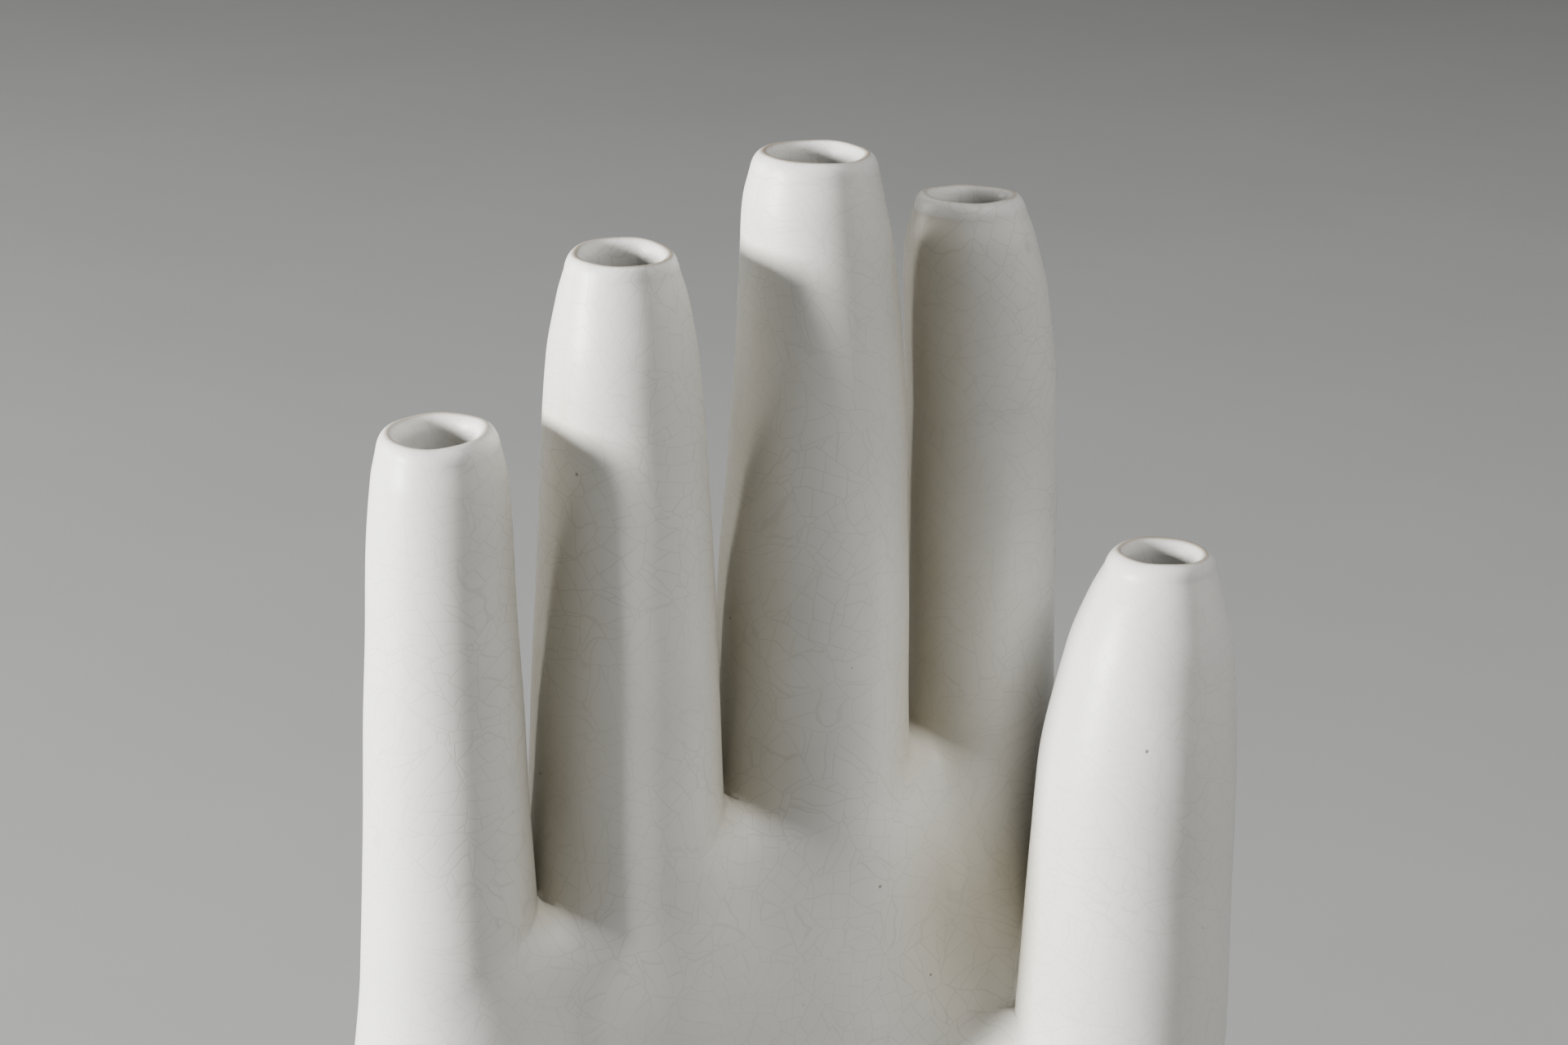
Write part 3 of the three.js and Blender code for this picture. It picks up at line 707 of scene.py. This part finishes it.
PEEL_HEIGHT = 0.09
CRACK_DEPTH = 0.04
PIN_DEPTH = 0.5
ROUGHNESS = 0.36
MOTTLE_ROUGHNESS = 0.14
CRACK_ROUGHNESS = 0.1
relief = peel * PEEL_HEIGHT - cracks * CRACK_DEPTH - pins * PIN_DEPTH
bump = glaze.node("Bump", {}, {"Strength": 0.55, "Distance": 0.0004, "Height": relief}, "Normal")
shine = ROUGHNESS + MOTTLE_ROUGHNESS * mottle + CRACK_ROUGHNESS * cracks
glaze_shader = glaze.node(
    "BsdfPrincipled",
    {},
    {"Base Color": colour, "Roughness": shine, "Normal": bump, "IOR": 1.5, "Specular IOR Level": 0.42},
)
glaze_material = finished(glaze, glaze_shader)

palm.data.materials.clear()
palm.data.materials.append(glaze_material)
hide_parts("palm_body")
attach(palm, "root")

# The digits
# Five thrown and tapered tubes, each with a rolled lip round a narrower mouth, and a bore that widens below
# its throat. Each is cut off level and luted to the palm with slip, and the seam is wiped smooth.
LIP_TURN = np.radians(75)
TILT_DEPTH = 26
DIGIT_SIDES = 224
SIDE_RINGS = 150
SIDE_BUNCHING = 1.3
ROLL_RINGS = 12
TUCK_RINGS = 10
THROAT_RINGS = 13
BORE_RINGS = 15
HALVINGS = 20
TINY = 1e-9

# By how much the mouth is out of round, in waves of two and five round it, the share of that in the bore,
# and by how much the rim is worn down, again in such waves. Last, how far from the lip's crest its tan
# reaches, and from what depth the bore is tinted darker and warmer.
MOUTH_WAVES = (0.13, 0.08)
BORE_WAVES = 0.6
RIM_WEAR = 0.16
RIM_WAVES = (0.09, 0.05)
LIP_REACH = 0.9
BORE_NOOK = {"start": 6, "fade": 40}


def side_radius(digit, z, turn):
    """How far the skin of the hand lies from the digit's centre along each turn, found by halving, and
    never past the middle of the gap to a neighbour. The thumb stands free in front, so it is a plain tube."""
    cx, cy, radius = axis_at(digit, z)
    ux, uy = np.cos(turn), np.sin(turn)
    if digit is THUMB:
        return radius - hand_wobble(cx + ux * radius, cy + uy * radius, z)
    distance = form_at(z)
    limit = radius * 2 * np.ones_like(ux)
    for web in WEBS:
        if digit in web["between"]:
            _, _, gx, gy, middle = gap_middle(digit, web, z)
            along = ux * gx + uy * gy
            limit = np.where(along > 0, np.minimum(limit, middle / np.maximum(along, TINY)), limit)
    inside, outside = radius * 0.5 * np.ones_like(ux), limit
    for _ in range(HALVINGS):
        middle = (inside + outside) / 2
        in_clay = distance(cx + ux * middle, cy + uy * middle) < 0
        inside, outside = np.where(in_clay, middle, inside), np.where(in_clay, outside, middle)
    return np.where(distance(cx + ux * limit, cy + uy * limit) < 0, limit, inside)


def digit_surface(digit):
    """The profile, carried round the axis: up the side from the joint, over the lip's outer edge to its
    crest, in by a quarter turn, and down the bore. Returns the rings, their depths and which are side."""
    length = digit["top"] - digit["joint"]
    turn = np.linspace(0, 2 * np.pi, DIGIT_SIDES, endpoint=False)[None, :]
    side_depth = length - (length - LIP_DEPTH) * np.linspace(0, 1, SIDE_RINGS) ** SIDE_BUNCHING
    side = side_radius(digit, (digit["top"] - side_depth)[:, None], turn)
    roll = LIP_TURN * np.linspace(1, 0, ROLL_RINGS + 1)[1:]
    out = (np.sin(roll) / np.sin(LIP_TURN))[:, None]
    roll_depth = LIP_DEPTH * (1 - np.cos(roll)) / (1 - np.cos(LIP_TURN))
    tuck = np.linspace(0, np.pi / 2, TUCK_RINGS + 1)[1:]
    throat = np.linspace(LIP_DEPTH, THROAT_DEPTH, THROAT_RINGS + 1)[1:]
    bore_depth = np.concatenate([throat, np.linspace(THROAT_DEPTH, length, BORE_RINGS + 1)[1:]])
    phase = digit["top"]
    slow, quick = MOUTH_WAVES
    mouth = digit["mouth"] + slow * np.sin(2 * turn + phase) + quick * np.sin(5 * turn + 2 * phase)
    radius = np.vstack(
        [
            side,
            mix(mouth, side[-1:], out),
            mouth - LIP_WIDTH * np.sin(tuck)[:, None],
            bore_radius(digit, bore_depth)[:, None] + (mouth - digit["mouth"]) * BORE_WAVES,
        ]
    )
    depth = np.concatenate([side_depth, roll_depth, LIP_DEPTH * (1 - np.cos(tuck)), bore_depth])
    cx, cy, _ = axis_at(digit, digit["top"] - depth)
    dx, dy = radius * np.cos(turn), radius * np.sin(turn)
    fade = np.clip(1 - depth / TILT_DEPTH, 0, 1)[:, None]
    slow, quick = RIM_WAVES
    uneven = RIM_WEAR + slow * np.sin(2 * turn + 1.7 * phase) + quick * np.sin(5 * turn - phase)
    lift = (dx * digit["tilt"][0] + dy * digit["tilt"][1]) * fade - uneven * fade**4
    rings = np.stack([cx[:, None] + dx, cy[:, None] + dy, (digit["top"] - depth)[:, None] + lift], -1)
    return rings, depth, np.arange(len(depth)) < SIDE_RINGS


def across_and_along(rings):
    """The unit way out at each point of closed rings, square to the ring and to the profile there."""
    across = np.roll(rings, -1, 1) - np.roll(rings, 1, 1)
    along = np.roll(rings, -1, 0) - np.roll(rings, 1, 0)
    out = np.cross(across, along)
    return out / np.maximum(np.linalg.norm(out, axis=-1, keepdims=True), TINY)


def soft_rings(mesh, rings, out):
    """Gives each corner the way out of its point, but the flat strip that closes the profile faces down."""
    levels, sides = rings.shape[:2]
    looks = out.reshape(-1, 3)[corner_points(mesh)]
    looks[(levels - 1) * sides * 4 : levels * sides * 4] = (0, 0, -1)
    mesh.shade_smooth()
    mesh.normals_split_custom_set(looks.tolist())


for digit in DIGITS:
    rings, depth, is_side = digit_surface(digit)
    out = across_and_along(rings)
    plain_side = is_side & (depth > TILT_DEPTH)
    points = rings[plain_side]
    out[plain_side] = way_out_all_round(points.reshape(-1, 3)).reshape(points.shape)
    piece = placed(digit["node"] + "_tube", ring_mesh(digit["node"], rings, True))
    soft_rings(piece.data, rings, out)
    x, y, z = np.moveaxis(rings, -1, 0)
    # Down each bore the glaze is tinted darker and warmer with depth. On the side it takes the nook's tint of
    # pooled glaze and painted shade.
    in_bore = NOOK_SHARE * smooth_step((depth - BORE_NOOK["start"]) / BORE_NOOK["fade"])
    pool_and_shade = np.where(is_side[:, None], nook(x, y, z), in_bore[:, None])
    write_attribute(piece.data, "nook", pool_and_shade.ravel())
    crest = SIDE_RINGS + ROLL_RINGS - 1
    gone = np.concatenate([[0], np.cumsum(np.linalg.norm(np.diff(rings[:, 0], axis=0), axis=-1))])
    lip_share = np.exp(-(((gone - gone[crest]) / LIP_REACH) ** 2))
    write_attribute(piece.data, "lip", np.repeat(lip_share, DIGIT_SIDES))
    piece.data.materials.append(glaze_material)
    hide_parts(digit["node"])
    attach(piece, "root")

# The base slab
# A flat oval slab rolled out of the same clay, cut to the wrist's outline and luted under it, with its lower
# edge sponged round. The glaze covers its side and stops just under that edge.
SLAB_ROUND = 1.2
ROUND_LEVELS = 9
SIDE_START = 6.4
SIDE_LEVELS = 14
SEAM_TINT = 0.7
SEAM_REACH = 0.8


def from_outline(inset, z):
    """The wrist's outline at its lower end, drawn in by an inset for each height. The corners of the ring
    lie at the same share of the way round at every height."""
    level = np.full(len(z), float(PALM_BOTTOM))
    rings = outlines(level, DIGITS, PALM_SIDES, foot_section[2:4], inset)
    rings[..., 2] = z[:, None]
    return rings


def seam_tint(off):
    """How strongly the glaze changes colour at a distance from a seam or an edge."""
    return np.repeat(SEAM_TINT * np.exp(-((off / SEAM_REACH) ** 2)), PALM_SIDES)


# The outline is taken where it lies in the groove, so the slab stands out by the groove below that.
turn = np.linspace(0, np.pi / 2, ROUND_LEVELS)
rounded = FOOT_HEIGHT + SLAB_ROUND * (1 - np.cos(turn))
slab_z = np.concatenate([rounded, np.linspace(SIDE_START, PALM_BOTTOM, SIDE_LEVELS)])
slab_inset = np.concatenate([SLAB_ROUND * (1 - np.sin(turn)), np.zeros(SIDE_LEVELS)])
slab_inset = slab_inset - GROOVE_DEPTH * (1 - groove_bell(slab_z))
slab_rings = from_outline(slab_inset, slab_z)
slab = placed("slab", ring_mesh("slab", slab_rings))
slab.data.shade_smooth()
slab_out = across_and_along(slab_rings)
slab_out[0], slab_out[-1] = (0, 0, -1), slab_out[-2]
looks = slab_out.reshape(-1, 3)[corner_points(slab.data)]
looks[-PALM_SIDES:] = (0, 0, 1)
slab.data.normals_split_custom_set(looks.tolist())
write_attribute(slab.data, "nook", seam_tint(PALM_BOTTOM - slab_z))
write_attribute(slab.data, "lip", seam_tint(slab_z - FOOT_HEIGHT))
slab.data.materials.append(glaze_material)
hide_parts("base_slab")
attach(slab, "root")

# The foot ring
# An oval ring of clay under the slab, wiped clean of glaze so that it doesn't stick in the kiln. Its bare
# body is buff and gritty, and its edges are rubbed round.
CLAY_BUFF = (0.60, 0.50, 0.37, 1)
CLAY_TOAST = (0.42, 0.31, 0.20, 1)
GRIT_DARK = (0.16, 0.12, 0.09, 1)
FOOT_INSET = 3.5
FOOT_WIDTH = 8
FOOT_ROUND = 0.8
FOOT_ROUND_LEVELS = 7
FOOT_SIDE_START = 1
FOOT_SIDE_LEVELS = 6

TOAST_SCALE = 40.0
TOAST_EDGE = (0.4, 0.7)
TOAST_SHARE = 0.55
GRAIN_SCALE = 1500.0
GRIT = {"scale": 900.0, "dot": (0.15, 0.35), "channel": "Red", "picked": (0.9, 0.92)}
GRIT_SHARE = 0.7
GRIT_HEIGHT = 0.6
CLAY_ROUGHNESS = 0.78
GRAIN_ROUGHNESS = 0.14
clay = new_finish("bare_stoneware")
place = clay.node("TexCoord", {}, {}, "Object")
toast = clay.noise(place, TOAST_SCALE, 4.0).rise(*TOAST_EDGE)
grain = clay.noise(place, GRAIN_SCALE)
grit = clay.dots(place, **GRIT)
colour = clay.tint(CLAY_BUFF, CLAY_TOAST, toast * TOAST_SHARE)
colour = clay.tint(colour, GRIT_DARK, grit * GRIT_SHARE)
relief = grain + grit * GRIT_HEIGHT
bump = clay.node("Bump", {}, {"Strength": 0.7, "Distance": 0.0002, "Height": relief}, "Normal")
rough = CLAY_ROUGHNESS + GRAIN_ROUGHNESS * grain
clay_shader = clay.node("BsdfPrincipled", {}, {"Base Color": colour, "Roughness": rough, "Normal": bump})
clay_material = finished(clay, clay_shader)

wide = FOOT_INSET + FOOT_WIDTH
turn = np.linspace(0, np.pi / 2, FOOT_ROUND_LEVELS)
side_z = np.linspace(FOOT_SIDE_START, FOOT_HEIGHT, FOOT_SIDE_LEVELS)
foot_z = np.concatenate([FOOT_ROUND * (1 - np.cos(turn)), side_z])
foot_side = np.concatenate([FOOT_ROUND * (1 - np.sin(turn)), np.zeros(FOOT_SIDE_LEVELS)])
foot_inset = np.concatenate([FOOT_INSET + foot_side, (wide - foot_side)[::-1]])
foot_rings = from_outline(foot_inset, np.concatenate([foot_z, foot_z[::-1]]))
foot = placed("foot", ring_mesh("foot", foot_rings, True))
foot_out = across_and_along(foot_rings)
foot_out[0] = foot_out[-1] = (0, 0, -1)
soft_rings(foot.data, foot_rings, foot_out)
foot.data.materials.append(clay_material)
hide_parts("foot_ring")
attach(foot, "root")

# The studio
# A pale matt floor. One tall narrow softbox, low on the left, draws the upright shadow edges, and a thin
# light behind it the rims. Broad softboxes high in front and overhead fill the palm, the webs and the
# mouths, and weak ones lift the right side and the back.
FLOOR_RADIUS = 9.0
FLOOR_SIDES = 128
FLOOR_GREY = (0.43, 0.43, 0.425, 1)
FLOOR_LIGHT = (0.46, 0.46, 0.455, 1)
FLOOR_SCALE = 8.0
turn = np.linspace(0, 2 * np.pi, FLOOR_SIDES, endpoint=False)
floor_mesh = bpy.data.meshes.new("floor")
edge = np.stack([FLOOR_RADIUS * np.cos(turn), FLOOR_RADIUS * np.sin(turn), 0 * turn], 1)
floor_mesh.from_pydata(edge.tolist(), [], [list(range(FLOOR_SIDES))])
floor = placed("floor", floor_mesh)
paper = new_finish("pale_floor")
place = paper.node("TexCoord", {}, {}, "Object")
grey = paper.tint(FLOOR_GREY, FLOOR_LIGHT, paper.noise(place, FLOOR_SCALE, 3.0))
matt = {"Base Color": grey, "Roughness": 0.95, "Specular IOR Level": 0.1}
paper_shader = paper.node("BsdfPrincipled", {}, matt)
floor_mesh.materials.append(finished(paper, paper_shader))

LENS = 85
VIEW_AZIMUTH = np.radians(-28)
VIEW_ELEVATION = np.radians(19)
VIEW_DISTANCE = 0.589
VIEW_HEIGHT = 190
target = Vector((hand_place[0] * MM, hand_place[1] * MM, VIEW_HEIGHT * MM))


def towards(azimuth, elevation):
    """The unit way from the target to something at an azimuth from -Y and an elevation, both in radians."""
    level = np.cos(elevation)
    return Vector((np.sin(azimuth) * level, -np.cos(azimuth) * level, np.sin(elevation)))


def softbox(name, azimuth, elevation, distance, size, power):
    """A rectangular light that faces the target: degrees, metres from it, width and height, and watts."""
    lamp = bpy.data.lights.new(name, "AREA")
    lamp.shape, lamp.size, lamp.size_y, lamp.energy = "RECTANGLE", *size, power
    box = placed(name, lamp)
    way = towards(np.radians(azimuth), np.radians(elevation))
    box.location = target + way * distance
    box.rotation_euler = (-way).to_track_quat("-Z", "Y").to_euler()
    box.visible_camera = False


softbox("key", -95.5, 10, 2.2, (0.3, 0.45), 75)
softbox("rim", -138, 14, 2.0, (0.12, 0.7), 10)
softbox("high_fill", 28, 56, 2.2, (1.2, 1.2), 17.5)
softbox("top", 0, 80, 2.2, (1.0, 1.0), 6)
softbox("side_fill", 60, 18, 2.4, (1.4, 1.2), 4)
softbox("back_fill", 165, 40, 2.4, (1.6, 1.2), 3)

SKY_GREY = (0.62, 0.63, 0.65, 1)
SKY_STRENGTH = 0.02
world = bpy.data.worlds.new("studio")
bpy.context.scene.world = world
world.use_nodes = True
sky = world.node_tree.nodes["Background"]
sky.inputs["Color"].default_value = SKY_GREY
sky.inputs["Strength"].default_value = SKY_STRENGTH
bpy.context.scene.view_settings.look = "AgX - High Contrast"

camera_data = bpy.data.cameras.new("photo_view")
camera_data.lens = LENS
camera_data.clip_end = 50
camera = placed("photo_view", camera_data)
back = towards(VIEW_AZIMUTH, VIEW_ELEVATION)
camera.location = target + back * VIEW_DISTANCE
camera.rotation_euler = (-back).to_track_quat("-Z", "Y").to_euler()
bpy.context.scene.camera = camera
